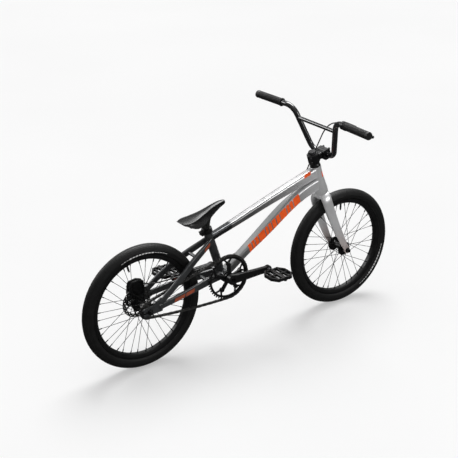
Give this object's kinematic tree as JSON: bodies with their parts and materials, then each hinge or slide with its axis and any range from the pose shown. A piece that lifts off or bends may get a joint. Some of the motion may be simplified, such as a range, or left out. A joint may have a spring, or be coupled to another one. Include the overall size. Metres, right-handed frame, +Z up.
{
  "type": "bmx bike",
  "caption": "Race bicycle with small wheels, shaped alloy frame, straight fork, high-rise handlebar with crossbar, single-speed chain drive and a rear disc brake.",
  "frame": {"origin": "on the floor, midway between the wheels, in the bike's middle plane", "axes": "+X forward, +Y to the rider's left, +Z up"},
  "size_m": [1.4548, 0.6968, 0.8718],
  "materials": {
    "paint_silver": "metallic silver lacquer",
    "paint_charcoal": "charcoal metallic lacquer fading to silver",
    "black_alloy": "black anodised",
    "black_steel": "gloss black paint",
    "bare_steel": "brushed",
    "spoke_steel": "black oxide",
    "tyre_rubber": "matte",
    "tube_rubber": "matte",
    "grip_rubber": "matte",
    "saddle_skin": "semi-gloss black",
    "moulded_black": "matte",
    "pad_compound": "rough"
  },
  "bodies": {
    "frame_body": {"head_tube": "paint_silver", "top_tube": "paint_charcoal", "down_tube": "paint_charcoal", "seat_tube": "paint_charcoal", "bottom_bracket_shell": "paint_charcoal", "chainstays": "paint_charcoal", "seatstays": "paint_charcoal", "rear_dropouts": "paint_charcoal", "seat_clamp": "black_alloy", "headset_bearings": "bare_steel", "bottom_bracket_cups": "black_alloy", "rear_axle": "bare_steel", "chain_tensioners": "black_alloy", "brake_caliper": "black_alloy", "brake_hose_frame": "moulded_black", "chain": "bare_steel"},
    "steering_body": {"fork_steerer": "bare_steel", "fork_crown": "paint_silver", "fork_legs": "paint_silver", "headset_cover": "black_alloy", "stem_body": "black_alloy", "stem_faceplate": "black_alloy", "stem_bolts": "bare_steel", "stem_top_cap": "black_alloy", "handlebar": "black_steel", "handlebar_crossbar": "black_steel", "grips": "grip_rubber", "bar_end_plugs": "moulded_black", "brake_lever_body": "black_alloy", "front_axle": "bare_steel", "brake_hose_front": "moulded_black"},
    "front_wheel_body": {"front_hub": "black_alloy", "front_hub_bearings": "bare_steel", "front_rim": "black_alloy", "front_spokes": "spoke_steel", "front_tyre": "tyre_rubber", "front_inner_tube": "tube_rubber"},
    "rear_wheel_body": {"rear_hub": "black_alloy", "rear_hub_bearings": "bare_steel", "rear_rim": "black_alloy", "rear_spokes": "spoke_steel", "rear_tyre": "tyre_rubber", "rear_inner_tube": "tube_rubber", "brake_rotor": "bare_steel"},
    "cog_body": {"rear_cog": "bare_steel", "freehub_driver": "bare_steel"},
    "crankset_body": {"crank_spindle": "bare_steel", "crank_right": "black_alloy", "crank_left": "black_alloy", "chainring": "black_alloy", "crank_bolts": "bare_steel", "pedal_axles": "bare_steel"},
    "pedal_right_body": {"pedal_right": "black_alloy"},
    "pedal_left_body": {"pedal_left": "black_alloy"},
    "lever_blade_body": {"brake_lever": "black_alloy"},
    "pad_inner_body": {"brake_pad_inner": "pad_compound"},
    "pad_outer_body": {"brake_pad_outer": "pad_compound"},
    "seat_post_body": {"seat_post": "black_steel"},
    "saddle_body": {"saddle_base": "moulded_black", "saddle_cover": "saddle_skin"}
  },
  "joints": [
    {"name": "steering_turn", "type": "hinge", "parent": "frame_body", "child": "steering_body", "pos_m": [0.45443, 0, 0.24338], "axis": [-0.2756, 0, 0.9613], "range_deg": [-80, 80], "deforming": ["brake_hose_front"]},
    {"name": "front_wheel_spin", "type": "hinge", "parent": "steering_body", "child": "front_wheel_body", "pos_m": [0.4775, 0, 0.25], "axis": [0, 1, 0], "continuous": true},
    {"name": "rear_wheel_spin", "type": "hinge", "parent": "frame_body", "child": "rear_wheel_body", "pos_m": [-0.4775, 0, 0.25], "axis": [0, 1, 0], "continuous": true},
    {"name": "crank_spin", "type": "hinge", "parent": "frame_body", "child": "crankset_body", "pos_m": [-0.1156, 0, 0.287], "axis": [0, 1, 0], "continuous": true, "deforming": ["chain"]},
    {"name": "cog_spin", "type": "hinge", "parent": "frame_body", "child": "cog_body", "pos_m": [-0.4775, 0, 0.25], "axis": [0, 1, 0], "continuous": true},
    {"name": "pedal_right_spin", "type": "hinge", "parent": "crankset_body", "child": "pedal_right_body", "pos_m": [0.0544, -0.14, 0.287], "axis": [0, 1, 0], "continuous": true},
    {"name": "pedal_left_spin", "type": "hinge", "parent": "crankset_body", "child": "pedal_left_body", "pos_m": [-0.2856, 0.14, 0.287], "axis": [0, 1, 0], "continuous": true},
    {"name": "brake_lever_pull", "type": "hinge", "parent": "steering_body", "child": "lever_blade_body", "pos_m": [0.35454, -0.22287, 0.83805], "axis": [-0.4211, 0.0177, -0.9068], "range_deg": [0, 17], "stiffness_Nm_per_rad": 0.8, "springref_deg": -5.73},
    {"name": "pad_inner_slide", "type": "slide", "parent": "frame_body", "child": "pad_inner_body", "axis": [0, 1, 0], "range_m": [0, 0.0003]},
    {"name": "pad_outer_slide", "type": "slide", "parent": "frame_body", "child": "pad_outer_body", "axis": [0, -1, 0], "range_m": [0, 0.0003]},
    {"name": "seat_height", "type": "slide", "parent": "frame_body", "child": "seat_post_body", "axis": [-0.309, 0, 0.9511], "range_m": [0, 0.04]},
    {"name": "saddle_tilt", "type": "hinge", "parent": "seat_post_body", "child": "saddle_body", "pos_m": [-0.18853, 0, 0.51145], "axis": [0, 1, 0], "range_deg": [-8, 8]}
  ],
  "couplings": [
    {"joint": "cog_spin", "follows": "crank_spin", "ratio": 2.75},
    {"joint": "pad_inner_slide", "follows": "brake_lever_pull", "m_per_rad": 0.001011},
    {"joint": "pad_outer_slide", "follows": "brake_lever_pull", "m_per_rad": 0.001011}
  ]
}
